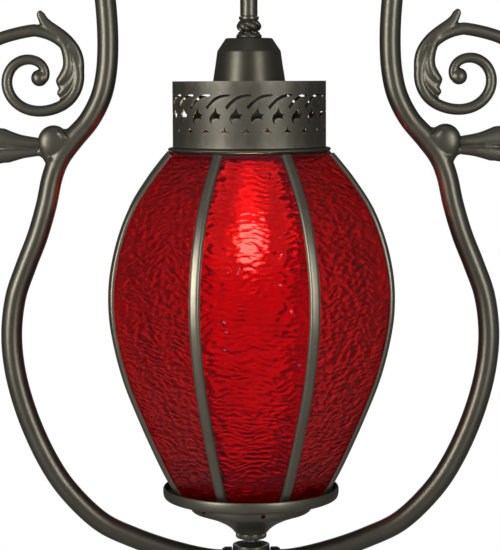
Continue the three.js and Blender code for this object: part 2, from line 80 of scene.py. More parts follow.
# ---------------------------------------------------------------- materials
class Nodes:
    """A material's node tree, with short calls to add and join nodes."""

    def __init__(self, name):
        self.material = bpy.data.materials.new(name)
        self.material.use_nodes = True
        self.tree = self.material.node_tree
        self.shader = self.tree.nodes["Principled BSDF"]
        self.place = self.add("ShaderNodeTexCoord").outputs["Object"]

    def add(self, kind, **settings):
        node = self.tree.nodes.new(kind)
        for key, value in settings.items():
            setattr(node, key, value)
        return node

    def link(self, source, target):
        self.tree.links.new(source, target)

    def set(self, **values):
        for key, value in values.items():
            self.shader.inputs[key.replace("_", " ")].default_value = value

    def stretched(self, scale):
        mapping = self.add("ShaderNodeMapping")
        mapping.inputs["Scale"].default_value = scale
        self.link(self.place, mapping.inputs["Vector"])
        return mapping.outputs["Vector"]

    def noise(self, scale, detail=3.0, roughness=0.55, distortion=0.0, vector=None):
        node = self.add("ShaderNodeTexNoise")
        node.inputs["Scale"].default_value = scale
        node.inputs["Detail"].default_value = detail
        node.inputs["Roughness"].default_value = roughness
        node.inputs["Distortion"].default_value = distortion
        self.link(vector or self.place, node.inputs["Vector"])
        return node.outputs["Fac"]

    def ramp(self, value, *stops):
        node = self.add("ShaderNodeValToRGB")
        while len(node.color_ramp.elements) < len(stops):
            node.color_ramp.elements.new(0.5)
        for element, (position, color) in zip(node.color_ramp.elements, stops):
            element.position = position
            element.color = color if len(color) == 4 else (*color, 1.0)
        self.link(value, node.inputs["Fac"])
        return node.outputs["Color"]

    def between(self, value, low, high):
        node = self.add("ShaderNodeMapRange")
        node.inputs["To Min"].default_value = low
        node.inputs["To Max"].default_value = high
        self.link(value, node.inputs["Value"])
        return node.outputs["Result"]

    def mix(self, factor, first, second):
        node = self.add("ShaderNodeMix", data_type="RGBA")
        self.link(factor, node.inputs["Factor"])
        for socket, source in ((node.inputs["A"], first), (node.inputs["B"], second)):
            if isinstance(source, tuple):
                socket.default_value = (*source, 1.0)
            else:
                self.link(source, socket)
        return node.outputs["Result"]

    def bump(self, height, distance, below=None):
        node = self.add("ShaderNodeBump")
        node.inputs["Distance"].default_value = distance
        self.link(height, node.inputs["Height"])
        if below:
            self.link(below, node.inputs["Normal"])
        return node.outputs["Normal"]


def bronze_material(name, tone, rough, grain, mottle_scale=60.0):
    """Dark bronze lacquer: mottled, worn towards bare metal on its edges, with a fine cast grain."""
    n = Nodes(name)
    n.set(Metallic=0.9, Coat_Weight=0.05, Coat_Roughness=0.35)
    mottle = n.noise(mottle_scale, 4.0, 0.6)
    dark = tuple(tone * c for c in (0.92, 0.88, 0.68))
    light = tuple(tone * c for c in (1.14, 1.09, 0.87))
    body = n.ramp(mottle, (0.3, dark), (0.72, light))
    edges = n.add("ShaderNodeNewGeometry").outputs["Pointiness"]
    wear = n.ramp(edges, (0.54, (0, 0, 0)), (0.66, (1, 1, 1)))
    worn = n.mix(wear, body, tuple(tone * c for c in (2.1, 1.95, 1.6)))
    n.link(worn, n.shader.inputs["Base Color"])
    n.link(n.between(n.noise(220.0, 3.0), rough - 0.015, rough + 0.025), n.shader.inputs["Roughness"])
    fine = n.bump(n.noise(900.0, 2.0), 0.00001 * grain)
    n.link(n.bump(n.noise(160.0, 2.0), 0.00003 * grain, below=fine), n.shader.inputs["Normal"])
    return n.material


def foil_material():
    """Tarnished copper foil wrapped over the panels' edges."""
    n = Nodes("copper_foil")
    n.set(Metallic=0.9)
    tarnish = n.noise(90.0, 4.0)
    copper = n.ramp(tarnish, (0.35, (0.16, 0.055, 0.022)), (0.65, (0.045, 0.03, 0.02)))
    n.link(copper, n.shader.inputs["Base Color"])
    n.link(n.between(tarnish, 0.4, 0.6), n.shader.inputs["Roughness"])
    return n.material


def steel_material():
    """Zinc-plated steel with fine drawn lines and a few dull spots."""
    n = Nodes("zinc_steel")
    n.set(Metallic=1.0)
    lines = n.noise(60.0, 3.0, vector=n.stretched((1.0, 1.0, 30.0)))
    zinc = n.ramp(lines, (0.3, (0.34, 0.35, 0.37)), (0.7, (0.56, 0.57, 0.6)))
    n.link(zinc, n.shader.inputs["Base Color"])
    n.link(n.between(n.noise(300.0), 0.28, 0.48), n.shader.inputs["Roughness"])
    n.link(n.bump(lines, 0.00005), n.shader.inputs["Normal"])
    return n.material


def brass_material():
    """Bright screw-shell brass, browned in patches."""
    n = Nodes("shell_brass")
    n.set(Metallic=1.0)
    tarnish = n.noise(120.0, 4.0)
    brass = n.ramp(tarnish, (0.35, (0.72, 0.50, 0.20)), (0.75, (0.42, 0.26, 0.10)))
    n.link(brass, n.shader.inputs["Base Color"])
    n.link(n.between(tarnish, 0.22, 0.45), n.shader.inputs["Roughness"])
    return n.material


def porcelain_material():
    """Glazed porcelain with faint specks."""
    n = Nodes("porcelain_glaze")
    n.set(Coat_Weight=0.6, Coat_Roughness=0.08)
    glaze = n.ramp(n.noise(500.0, 2.0), (0.3, (0.60, 0.57, 0.50)), (0.5, (0.80, 0.78, 0.72)))
    n.link(glaze, n.shader.inputs["Base Color"])
    n.link(n.between(n.noise(40.0), 0.25, 0.4), n.shader.inputs["Roughness"])
    return n.material


def ruby_material():
    """Rippled ruby glass: the colour is in the glass, with denser and paler streaks."""
    n = Nodes("ruby_glass")
    n.set(Transmission_Weight=0.97, IOR=1.4, Specular_Tint=(0.75, 0.28, 0.5, 1.0))
    streaks = n.noise(16.0, 4.0, 0.6, 1.2, n.stretched((1.0, 1.0, 0.45)))
    ruby = n.ramp(streaks, (0.3, (0.66, 0.008, 0.012)), (0.75, (0.86, 0.012, 0.017)))
    n.link(ruby, n.shader.inputs["Base Color"])
    n.link(n.between(n.noise(90.0), 0.11, 0.17), n.shader.inputs["Roughness"])
    fine = n.noise(500.0, 2.0, 0.5, 0.4, n.stretched((0.5, 0.5, 1.0)))
    n.link(n.bump(fine, 0.0001), n.shader.inputs["Normal"])
    return n.material


def bulb_material():
    """Frosted envelope that glows faintly and lets the core show through."""
    n = Nodes("bulb_frost")
    n.set(Transmission_Weight=1.0, IOR=1.3)
    n.set(Emission_Color=(1.0, 0.62, 0.30, 1.0), Emission_Strength=BULB_GLOW)
    frost = n.noise(300.0)
    opal = n.ramp(frost, (0.3, (0.90, 0.86, 0.78)), (0.7, (0.98, 0.96, 0.92)))
    n.link(opal, n.shader.inputs["Base Color"])
    n.link(n.between(frost, 0.18, 0.28), n.shader.inputs["Roughness"])
    return n.material


def core_material():
    """The lit core, a little whiter in patches."""
    n = Nodes("bulb_core")
    n.set(Roughness=0.5, Emission_Strength=CORE_GLOW)
    heat = n.ramp(n.noise(60.0), (0.3, (1.0, 0.70, 0.36)), (0.7, (1.0, 0.82, 0.52)))
    n.link(heat, n.shader.inputs["Emission Color"])
    return n.material


def floor_material():
    """Pale floor that throws less light back at the lamp than it shows to the eye."""
    n = Nodes("pale_floor")
    pale = n.ramp(n.noise(3.0, 2.0), (0.3, (0.80, 0.80, 0.79)), (0.7, (0.84, 0.84, 0.83)))
    seen = n.add("ShaderNodeLightPath").outputs["Is Camera Ray"]
    n.link(n.mix(seen, (0.40, 0.40, 0.39), pale), n.shader.inputs["Base Color"])
    n.set(Roughness=0.8, Emission_Color=(1.0, 1.0, 1.0, 1.0))
    n.link(n.between(seen, 0.0, 0.4), n.shader.inputs["Emission Strength"])
    return n.material


BRONZE = bronze_material("dark_bronze", 0.078, 0.37, 0.1)
SATIN = bronze_material("satin_bronze", 0.070, 0.52, 1.0, 25.0)
SPUN = bronze_material("spun_bronze", 0.068, 0.38, 0.4, 30.0)
RUBBED = bronze_material("rubbed_bronze", 0.135, 0.36, 0.5)
CAST = bronze_material("cast_bronze", 0.084, 0.40, 0.8, 90.0)
TURNED = bronze_material("turned_bronze", 0.105, 0.40, 0.4, 30.0)
FOIL = foil_material()
STEEL = steel_material()
BRASS = brass_material()
PORCELAIN = porcelain_material()
RUBY = ruby_material()
BULB = bulb_material()
CORE = core_material()


# ---------------------------------------------------------------- mesh helpers
def linked(name, data):
    thing = bpy.data.objects.new(name, data)
    scene.collection.objects.link(thing)
    return thing


def applied(thing):
    """A new mesh of the object with its modifiers applied."""
    return bpy.data.meshes.new_from_object(thing.evaluated_get(bpy.context.evaluated_depsgraph_get()))


def raw_mesh(name, verts, faces, drop=LANTERN_TOP):
    """A mesh in metres from millimetre points, shifted up by drop."""
    mesh = bpy.data.meshes.new(name)
    points = np.asarray(verts, dtype=float) + (0.0, 0.0, drop)
    mesh.from_pydata((points * MM).tolist(), [], faces)
    return mesh


def shade(mesh, crease):
    """Smooth shading, with edges sharper than the crease angle left hard."""
    mesh.shade_smooth()
    mesh.set_sharp_from_angle(angle=math.radians(crease))


def settle(name, mesh, body, material, replaces):
    """The mesh as an object that rides on a body and stands for CAD nodes."""
    thing = linked(name, mesh)
    mesh.materials.clear()
    mesh.materials.append(material)
    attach(thing, body)
    if replaces:
        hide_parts(*replaces)


def piece(name, verts, faces, body, slot, material, replaces=(), drop=LANTERN_TOP, crease=32.0):
    """A finished piece from millimetre points."""
    mesh = raw_mesh(name, verts, faces, drop)
    tidy(mesh)
    shade(mesh, crease)
    settle(name, mesh, body, material, replaces)


def tidy(mesh):
    """Welds doubled points and turns every face outward."""
    work = bmesh.new()
    work.from_mesh(mesh)
    bmesh.ops.remove_doubles(work, verts=work.verts, dist=1e-6)
    bmesh.ops.dissolve_degenerate(work, edges=work.edges, dist=1e-7)
    bmesh.ops.recalc_face_normals(work, faces=work.faces)
    work.to_mesh(mesh)
    work.free()


def curve_through(corners, step):
    """Evenly spaced points on the centripetal Catmull-Rom curve through the corners."""
    given = [Vector(c) for c in corners]
    points = [2 * given[0] - given[1], *given, 2 * given[-1] - given[-2]]
    dense = []
    for p0, p1, p2, p3 in zip(points, points[1:], points[2:], points[3:]):
        d0, d1, d2 = ((b - a).length ** 0.5 for a, b in ((p0, p1), (p1, p2), (p2, p3)))
        t1 = d1 * ((p1 - p0) / d0 - (p2 - p0) / (d0 + d1) + (p2 - p1) / d1)
        t2 = d1 * ((p2 - p1) / d1 - (p3 - p1) / (d1 + d2) + (p3 - p2) / d2)
        square, cube = 3 * (p2 - p1) - 2 * t1 - t2, 2 * (p1 - p2) + t1 + t2
        for i in range(40):
            t = i / 40
            dense.append(p1 + t * t1 + t * t * square + t ** 3 * cube)
    dense.append(given[-1])
    path = np.array(dense)
    length = np.concatenate(([0], np.cumsum(np.linalg.norm(np.diff(path, axis=0), axis=1))))
    count = max(2, round(length[-1] / step))
    stops = np.linspace(0, length[-1], count + 1)
    return np.column_stack([np.interp(stops, length, path[:, k]) for k in range(path.shape[1])])


def rounded(outline):
    """An outline with rounded corners. A corner's third value is its rounding, or 0.5 mm without one."""
    steps = 4
    corners = [(*c, 0.5)[:3] for c in outline]
    closed = outline[0][0] > 0
    result = []
    for i, (r, z, size) in enumerate(corners):
        here = Vector((r, z))
        at_end = not closed and i in (0, len(corners) - 1)
        if at_end or r == 0 or size == 0:
            result.append((r, z))
            continue
        before = Vector(corners[i - 1][:2])
        after = Vector(corners[(i + 1) % len(corners)][:2])
        start = here + (before - here) * min(0.5, size / (before - here).length)
        stop = here + (after - here) * min(0.5, size / (after - here).length)
        for k in range(steps + 1):
            t = k / steps
            spot = (1 - t) ** 2 * start + 2 * t * (1 - t) * here + t * t * stop
            result.append((spot.x, spot.y))
    return result


def lathe(outline, segments, shape=None):
    """Points and faces of a turned body. shape(radius, height, angle) may change the radius."""
    closed = outline[0][0] > 0
    profile = rounded(outline)
    verts, faces = [], []
    count = len(profile)
    for j in range(segments):
        angle = 2 * math.pi * j / segments
        for r, z in profile:
            radius = shape(r, z, angle) if shape else r
            verts.append((radius * math.cos(angle), radius * math.sin(angle), z))
    for j in range(segments):
        k = (j + 1) % segments
        for i in range(count if closed else count - 1):
            m = (i + 1) % count
            faces.append((j * count + i, k * count + i, k * count + m, j * count + m))
    return verts, faces


def turned(name, outline, body, slot, material, replaces=(), drop=LANTERN_TOP, segments=64, shape=None):
    verts, faces = lathe(outline, segments, shape)
    return piece(name, verts, faces, body, slot, material, replaces, drop)


def placed(verts, matrix):
    return [tuple(matrix @ Vector(v)) for v in verts]


def skin(rings, count):
    """Faces over rings of count points each, and a cap on both ends."""
    faces = []
    for i in range(rings - 1):
        for j in range(count):
            k = (j + 1) % count
            faces.append((i * count + j, i * count + k, (i + 1) * count + k, (i + 1) * count + j))
    return [*faces, tuple(range(count)), tuple((rings - 1) * count + j for j in range(count))]


def sweep(path, section):
    """Rings of section(part) points, as (across, depth), along a path of (x, z) points in the XZ plane."""
    verts = []
    along = np.gradient(path, axis=0)
    along /= np.linalg.norm(along, axis=1)[:, None]
    last = len(path) - 1
    for i, ((x, z), (tx, tz)) in enumerate(zip(path, along)):
        for u, v in section(i / last):
            verts.append((x - tz * u, v, z + tx * u))
    return verts, skin(last + 1, len(verts) // (last + 1))


def oval(width, depth, sides, power=2.0):
    """Points of an oval, or of a squarer one at a higher power."""
    points = []
    for j in range(sides):
        angle = 2 * math.pi * j / sides
        c, s = math.cos(angle), math.sin(angle)
        points.append((width / 2 * math.copysign(abs(c) ** (2 / power), c),
                       depth / 2 * math.copysign(abs(s) ** (2 / power), s)))
    return points


def joined(*parts):
    verts, faces = [], []
    for more_verts, more_faces in parts:
        start = len(verts)
        verts.extend(more_verts)
        faces.extend(tuple(i + start for i in face) for face in more_faces)
    return verts, faces


def ball(radii, centre, flatness=1.0):
    """Points and faces of an ellipsoid. A flatness below 1 flattens its front and back."""
    rings, count = 20, 36
    verts, faces = [], []
    for i in range(rings + 1):
        polar = math.pi * i / rings
        for j in range(count):
            angle = 2 * math.pi * j / count
            depth = math.sin(polar) * math.sin(angle)
            flat = math.copysign(abs(depth) ** flatness, depth)
            unit = (math.sin(polar) * math.cos(angle), flat, math.cos(polar))
            verts.append(tuple(c + r * u for c, r, u in zip(centre, radii, unit)))
    for i in range(rings):
        for j in range(count):
            k = (j + 1) % count
            faces.append((i * count + j, (i + 1) * count + j, (i + 1) * count + k, i * count + k))
    return verts, faces


def cast(name, shape, voxel, smoothing):
    """One soft-edged casting from overlapping shapes, as a mesh in metres."""
    mesh = raw_mesh(name, *shape, drop=0)
    tidy(mesh)
    rough = linked(name, mesh)
    remesh = rough.modifiers.new("skin", "REMESH")
    remesh.mode = "VOXEL"
    remesh.voxel_size = voxel * MM
    soften = rough.modifiers.new("soften", "SMOOTH")
    soften.factor = 0.5
    soften.iterations = smoothing
    result = applied(rough)
    bpy.data.objects.remove(rough)
    result.name = name
    result.transform(Matrix.Translation((0, 0, LANTERN_TOP * MM)))
    result.shade_smooth()
    return result


def drilled(mesh, rods):
    """The mesh with round holes where the rods, in millimetre points, pass through it."""
    tools = raw_mesh("drills", *rods)
    tidy(tools)
    blank = linked(mesh.name, mesh)
    drill = linked("drills", tools)
    holes = blank.modifiers.new("holes", "BOOLEAN")
    holes.operation = "DIFFERENCE"
    holes.object = drill
    result = applied(blank)
    for thing in (blank, drill):
        bpy.data.objects.remove(thing)
    return result


def both_sides(name, mesh, body, material, node):
    """The same casting or tube on the right and, mirrored, on the left."""
    other = mesh.copy()
    other.transform(Matrix.Scale(-1, 4, (1, 0, 0)))
    other.flip_normals()
    settle(f"{name}_on_right", mesh, body, material, (f"{node}_right",))
    settle(f"{name}_on_left", other, body, material, (f"{node}_left",))


# ---------------------------------------------------------------- lantern: glass and ribs
RIB_WIDTH = 7.8
RIB_DEPTH = 1.3
RIB_EDGE = -0.65         # height of the crown's edges over the joint line
RIB_INSET = 0.55
GLASS_THICKNESS = 3.0
GLASS_INSET = 0.25       # how far the glass lies under the ribs' line
PANEL_GAP = 1.3          # from a panel's edge to the joint between two panels
PANEL_LENGTH = 262.0
RIPPLE_HEIGHT = 0.85
RIPPLE_MEAN = 0.1
PANEL_SEED = 11.7        # apart enough in the noise that no two panels look the same
# The copper foil's edge that shows beside a rib.
FOIL_EDGE = [(3.1, -1.15), (4.35, -1.2), (4.35, -1.5), (3.1, -1.5)]

RIB_LINE = curve_through([
    (66.7, -52.7), (73.2, -60), (83, -72), (97.2, -93), (106.8, -116), (112.9, -142), (114.2, -163),
    (112.3, -184), (103.8, -219), (90.3, -253), (74.2, -288), (67.9, -300), (60.4, -312.6),
], 1.0)


def rib_line(part, inset):
    """Point on the rib line moved inward, and the outward direction there, as (radius, height)."""
    place = part * (len(RIB_LINE) - 1)
    index = min(int(place), len(RIB_LINE) - 2)
    start, stop = RIB_LINE[index], RIB_LINE[index + 1]
    along = (stop - start) / np.linalg.norm(stop - start)
    out = np.array((-along[1], along[0]))
    return start + (stop - start) * (place - index) - inset * out, out


def ripple(across, down, seed):
    """Height of the rippled face: rounded swells that run mostly sideways, with sharp valleys between."""
    sway = noise.noise(Vector((across * 0.05, down * 0.04, seed + 7.3)))
    flow = down + 6.0 * sway
    swell = abs(noise.noise(Vector((across * 0.10, flow * 0.26, seed))))
    small = noise.noise(Vector((across * 0.20, flow * 0.48, seed + 4.1)))
    return 1.5 * swell + 0.55 * small - 0.3


def glass_panel(index):
    rows, columns = 560, 80
    half_turn = math.pi / SIDES
    turn = LANTERN_TURN - math.pi / 2 + index * 2 * half_turn
    spin = Matrix.Rotation(turn, 3, "Z")
    face, back = [], []
    for i in range(rows + 1):
        part = i / rows
        (r, z), out = rib_line(part, RIB_DEPTH + GLASS_INSET)
        middle = r * math.cos(half_turn)
        half = r * math.sin(half_turn) - PANEL_GAP
        for j in range(columns + 1):
            side = 2 * j / columns - 1
            edge = min(1.0, 6 * (1 - abs(side)), 12 * (1 - abs(2 * part - 1)))
            height = ripple(side * half, part * PANEL_LENGTH, PANEL_SEED * index)
            wave = edge * (RIPPLE_HEIGHT * height - RIPPLE_MEAN)
            face.append(tuple(spin @ Vector((middle + wave * out[0], side * half, z + wave * out[1]))))
        for side in (-1, 1):
            x, height = (middle, z) - GLASS_THICKNESS * out
            back.append(tuple(spin @ Vector((x, side * (half - PANEL_GAP), height))))
    wide = columns + 1
    start = len(face)
    faces = []
    for i in range(rows):
        left, right = start + 2 * i, start + 2 * i + 1
        for j in range(columns):
            a = i * wide + j
            faces.append((a, a + 1, a + 1 + wide, a + wide))
        faces.append((right, left, left + 2, right + 2))
        faces.append((i * wide, (i + 1) * wide, left + 2, left))
        faces.append(((i + 1) * wide + columns, i * wide + columns, right, right + 2))
    faces.append((*range(columns, -1, -1), start, start + 1))
    foot = rows * wide
    faces.append((*range(foot, foot + wide), start + 2 * rows + 1, start + 2 * rows))
    piece(f"ruby_panel_{index + 1}", face + back, faces, "lantern", "ruby_glass",
          RUBY, (f"glass_panel_{index + 1}",), crease=50)


def strip(section, rows, inset, spin, clearance=0.0):
    """A section of (across, outward) points swept along the rib line, short of its ends by a clearance."""
    verts = []
    for i in range(rows + 1):
        (r, z), out = rib_line(clearance + (1 - 2 * clearance) * i / rows, inset)
        verts += [tuple(spin @ Vector((r + w * out[0], u, z + w * out[1]))) for u, w in section]
    return verts, skin(rows + 1, len(section))


def rib(index):
    """Low crowned strip folded over the joint of two panels, its web between their edges."""
    half = RIB_WIDTH / 2
    arch = []
    for k in range(17):
        across = math.cos(math.pi * k / 16)
        arch.append((half * across, RIB_EDGE + (RIB_DEPTH - RIB_EDGE) * (1 - abs(across) ** 6)))
    web = [(-half, -0.8), (-half + 0.4, -0.95), (-0.8, -0.2), (-0.8, -2.6), (0.8, -2.6), (0.8, -0.2),
           (half - 0.4, -0.95), (half, -0.8)]
    spin = Matrix.Rotation(LANTERN_TURN - math.pi / 2 + (index + 0.5) * 2 * math.pi / SIDES, 3, "Z")
    crowned = strip(arch + web, 150, RIB_DEPTH + RIB_INSET, spin)
    piece(f"lead_rib_{index + 1}", *crowned, "lantern", "bronze", RUBBED, (f"rib_{index + 1}",), crease=40)
    edges = [strip([(side * u, w) for u, w in FOIL_EDGE], 100, RIB_DEPTH, spin, 0.004) for side in (-1, 1)]
    piece(f"copper_foil_{index + 1}", *joined(*edges), "lantern", "bronze", FOIL)


# ---------------------------------------------------------------- lantern: gallery
GALLERY_RADIUS = 57.6
GALLERY_WALL = 1.2
MOTIFS = 23
MOTIF_TURN = math.radians(-2.95)
MOTIF_DROP = -19.5       # height of the motifs' own zero line
# One motif's openings, as (along the band, up) from its zero point: a blade, a winged hook and a spur.
BLADE = [
    (-0.9, 1.0), (-0.2, -0.4), (0.8, -1.2), (2.2, 0.7), (3.9, 2.6), (5.8, 4.3), (8.2, 5.9), (11.2, 7.2),
    (14.6, 8.1), (18.2, 8.6), (18.8, 9.3), (18.0, 9.9), (14.2, 9.9), (10.4, 9.3), (7.9, 8.4), (5.2, 6.8),
    (2.6, 4.6), (0.8, 2.8),
]
WING = [
    (7.2, 0.8), (6.5, -1.2), (5.4, -3.0), (3.9, -4.3), (2.9, -5.6), (2.2, -7.4), (2.2, -8.9),
    (2.9, -10.6), (5.0, -11.9), (4.0, -10.3), (4.1, -9.1), (4.9, -8.2), (6.0, -7.7), (7.4, -7.5),
    (11.2, -8.1), (10.4, -7.0), (10.5, -6.1), (11.9, -4.6), (9.8, -4.2), (8.7, -3.4), (7.8, -1.6),
]
SPUR = [
    (14.4, -13.4), (13.9, -15.1), (12.7, -16.6), (10.3, -18.0), (14.3, -17.6), (18.3, -18.0), (16.0, -16.6),
    (14.9, -15.1),
]
# Line between one motif and the next, from the gallery's foot to its top, clear of every opening.
DIVIDE = [(5.0, -29.5), (5.0, -18.6), (3.2, -15.5), (1.0, -12.6), (-0.8, -8.0), (-1.8, -2.0), (-2.0, 1.5),
          (-0.8, 5.0), (1.5, 7.3), (4.4, 9.2), (4.6, 11.5), (4.6, 19.5)]


def anticlockwise(loop):
    twice_area = sum(a[0] * b[1] - b[0] * a[1] for a, b in zip(loop, loop[1:] + loop[:1]))
    return loop if twice_area > 0 else loop[::-1]


def gallery_cell(pitch, columns):
    """Flat mesh of one motif's share of the band, its openings left out, cut into upright strips."""
    border = DIVIDE + [(u + pitch, v) for u, v in reversed(DIVIDE)]
    points, loops = [], []
    for loop in (border, BLADE, WING, SPUR):
        loops.append(list(range(len(points), len(points) + len(loop))))
        points += [Vector(p) for p in anticlockwise(loop)]
    spread, _, triangles, *_ = geometry.delaunay_2d_cdt(points, [], loops, 2, 1e-5)
    work = bmesh.new()
    spots = [work.verts.new((p.x, p.y, 0)) for p in spread]
    for triangle in triangles:
        work.faces.new([spots[i] for i in triangle])
    low = min(p.x for p in points)
    high = max(p.x for p in points)
    width = pitch / columns
    for k in range(math.floor(low / width), math.ceil(high / width) + 1):
        everything = list(work.verts) + list(work.edges) + list(work.faces)
        bmesh.ops.bisect_plane(work, geom=everything, plane_co=(k * width, 0, 0), plane_no=(1, 0, 0))
    bmesh.ops.triangulate(work, faces=[f for f in work.faces if len(f.verts) > 4])
    work.verts.index_update()
    verts = [tuple(v.co) for v in work.verts]
    faces = [tuple(v.index for v in f.verts) for f in work.faces]
    work.free()
    return verts, faces


def gallery():
    pitch = 2 * math.pi * GALLERY_RADIUS / MOTIFS
    verts, faces = gallery_cell(pitch, 6)
    outside, shells = [], []
    for k in range(MOTIFS):
        turn = LANTERN_TURN + MOTIF_TURN + 2 * math.pi * k / MOTIFS
        start = len(outside)
        for u, v, _ in verts:
            angle = turn + u / GALLERY_RADIUS
            across, back = math.sin(angle), -math.cos(angle)
            outside.append((GALLERY_RADIUS * across, GALLERY_RADIUS * back, MOTIF_DROP + v))
        shells += [tuple(start + i for i in face) for face in faces]
    mesh = raw_mesh("pierced_gallery", outside, shells)
    work = bmesh.new()
    work.from_mesh(mesh)
    bmesh.ops.remove_doubles(work, verts=work.verts, dist=2e-5)
    bmesh.ops.recalc_face_normals(work, faces=work.faces)
    for vert in work.verts:
        vert.normal_update()
    front = list(work.faces)
    if sum(f.normal.dot(f.calc_center_median() * Vector((1, 1, 0))) for f in front) < 0:
        bmesh.ops.reverse_faces(work, faces=front)
    copy = bmesh.ops.duplicate(work, geom=list(work.verts) + list(work.edges) + front)
    twin = copy["vert_map"]
    loops = [loop for face in front for loop in face.loops if loop.edge.is_boundary]
    rim = [(loop.vert, loop.link_loop_next.vert) for loop in loops]
    shrink = (GALLERY_RADIUS - GALLERY_WALL) / GALLERY_RADIUS
    for item in copy["geom"]:
        if isinstance(item, bmesh.types.BMVert):
            item.co.x *= shrink
            item.co.y *= shrink
        elif isinstance(item, bmesh.types.BMFace):
            item.normal_flip()
    for first, second in rim:
        work.faces.new((second, first, twin[first], twin[second]))
    work.to_mesh(mesh)
    work.free()
    shade(mesh, 35)
    settle("pierced_gallery", mesh, "lantern", SATIN, ("gallery",))


def lantern():
    for index in range(SIDES):
        glass_panel(index)
        rib(index)
    gallery()
    turned("bead_flange", [
        (52, -47.8), (56.2, -47.8, 0.3), (56.3, -49.2, 0.2), (57.6, -49.9, 0.5), (59.4, -49.4, 0.9),
        (61.2, -50.1, 1.0), (61.2, -51.6, 1.0), (59.6, -52.4, 0.7), (55, -52.5, 0.2), (54.6, -54, 0.2),
        (52, -54),
    ], "lantern", "bronze", SATIN, ("gallery_flange",), segments=128)


# ---------------------------------------------------------------- lyre frame and castings
FRAME_ROUTE = [
    (HUB_REACH - 4, HUB_TOP), (26, HUB_TOP), (47, 205), (79, 191), (103, 163), (113.5, 128), (112, 95),
    (107.1, 60), (105.6, 29), (107.1, 6), (111.3, -11.6), (120.6, -29.3), (133, -43.5), (142.3, -56),
    (148.3, -70.6), (153.4, -93), (160.3, -116), (169.4, -139), (177.3, -161.5), (180.9, -190),
    (178.6, -219), (169.6, -253), (154.3, -288), (139.2, -311), (113.7, -335.8), (90, -347.4),
    (67.8, -355.6), (42, -362.6), (27, HUB_BOTTOM), (HUB_REACH - 4, HUB_BOTTOM),
]


KNUCKLE = (147.2, -45.0)
ARM_START = 156.3
ARM_HEIGHT = -49.5
CALYX = (200.0, -38.0)               # where the scroll leaves its arm
SCROLL_EYE = (161.0, 1.7)
SCROLL_RADII = [36.6, 33.0, 23.4, 20.5, 14.4, 7.0]      # at each quarter turn from the top
CASTING_VOXEL = 0.5


def frame_tubes():
    ring = oval(2 * TUBE_RADIUS, 2 * TUBE_RADIUS, 40)
    mesh = raw_mesh("bent_tube", *sweep(curve_through(FRAME_ROUTE, 2.5), lambda part: ring))
    tidy(mesh)
    shade(mesh, 40)
    both_sides("bent_tube", mesh, "lamp", BRONZE, "frame_tube")


def widths_along(widths):
    """Width at a part of the way, from evenly spaced widths."""
    places = np.linspace(0, 1, len(widths))
    return lambda part: float(np.interp(part, places, widths))


def bar(corners, widths, depth, power=2.2):
    """Casting's bar of oval section along a route, its width changing on the way."""
    width = widths_along(widths)

    def section(part):
        return oval(width(part), min(depth, 1.15 * width(part)), 20, power)

    return sweep(curve_through(corners, 1.0), section)


def ridge(corners, width, depth):
    """Weld bead that stands out of the casting's front and back along a route."""
    def section(part):
        return oval(width * (0.4 + math.sin(math.pi * part)), depth, 16)

    return sweep(curve_through(corners, 0.5), section)


def around_tube(part):
    """The knuckle's sleeve: under the tube's surface at its ends and 0.5 mm over it at its middle."""
    across = 2 * (TUBE_RADIUS - 0.5 + math.sin(math.pi * part) ** 2)
    return oval(across, across, 36)


def knuckles():
    """Boss welded to the bend: it wraps the tube, blends into it and carries the scroll's arm."""
    x, z = KNUCKLE
    boss = ball((11.9, 9.0, 12.6), (x, 0, z), 0.62)
    bend = np.array([p for p in curve_through(FRAME_ROUTE, 2.0) if -88 < p[1] < -12])
    sleeve = sweep(bend, around_tube)
    web = bar([(x - 10, z + 5), (x - 5, z + 1), (x, z - 4)], [15, 20, 17], 17.2, 2.8)
    foot = bar([(x + 4, z - 5), (x + 2, z - 13), (x + 1, z - 20)], [14, 10, 6], 15)
    fillet = bar([(x + 2, z - 13.5), (x + 6.2, z - 8), (x + 12, z - 6)], [10, 9.5, 8.5], 9)
    notch = ball((4, 5, 4), (x - 9.3, 0, z + 6))
    upper_bead = ridge([(x - 8.7, z + 2.2), (x - 6.6, z + 5.4), (x - 4.2, z + 8)], 1.7, 18.6)
    lower_bead = ridge([(x + 0.6, z - 14), (x + 2.8, z - 11.4)], 1.8, 16.6)
    shape = joined(boss, sleeve, web, foot, fillet, notch, upper_bead, lower_bead)
    mesh = cast("weld_knuckle", shape, CASTING_VOXEL, 30)
    both_sides("weld_knuckle", mesh, "lamp", CAST, "knuckle")


def scroll_route():
    """Over the scroll's back from the calyx, then spiralling in to its eye."""
    back = [
        (176, -47), (188, -44.5), CALYX, (208.8, -25), (211.7, -8), (208.3, 10), (199, 24), (187.5, 31.8),
    ]
    quarters = curve_through(list(enumerate(SCROLL_RADII)), 0.25)
    spiral = []
    for quarter, radius in quarters:
        angle = math.pi / 2 * (1 + quarter)
        spiral.append((SCROLL_EYE[0] + radius * math.cos(angle), SCROLL_EYE[1] + radius * math.sin(angle)))
    return back + spiral


LEAF_OUTER = [
    (155.6, 53.3), (152.9, 51.2), (150.6, 47.8), (147.4, 45), (142, 41.3), (136.2, 37), (131.4, 32.3),
    (127.1, 26.4), (124.3, 19.8), (123.3, 12.2), (123.8, 4.5), (125.7, -2.2), (128.6, -8.4),
    (132.4, -14.1), (137, -18.8), (141.5, -21.4),
]
LEAF_INNER = [
    (157.6, 52.6), (158.6, 50.4), (157.4, 45.8), (155.4, 41.2), (150.6, 35.4), (147.3, 31.8),
    (142.2, 26.4), (139.7, 18.2), (139.8, 11.4), (142.6, 5.6), (145, 1), (143.9, -3), (142.9, -5),
    (144.4, -8.6), (142.2, -12.6), (144, -17.6),
]

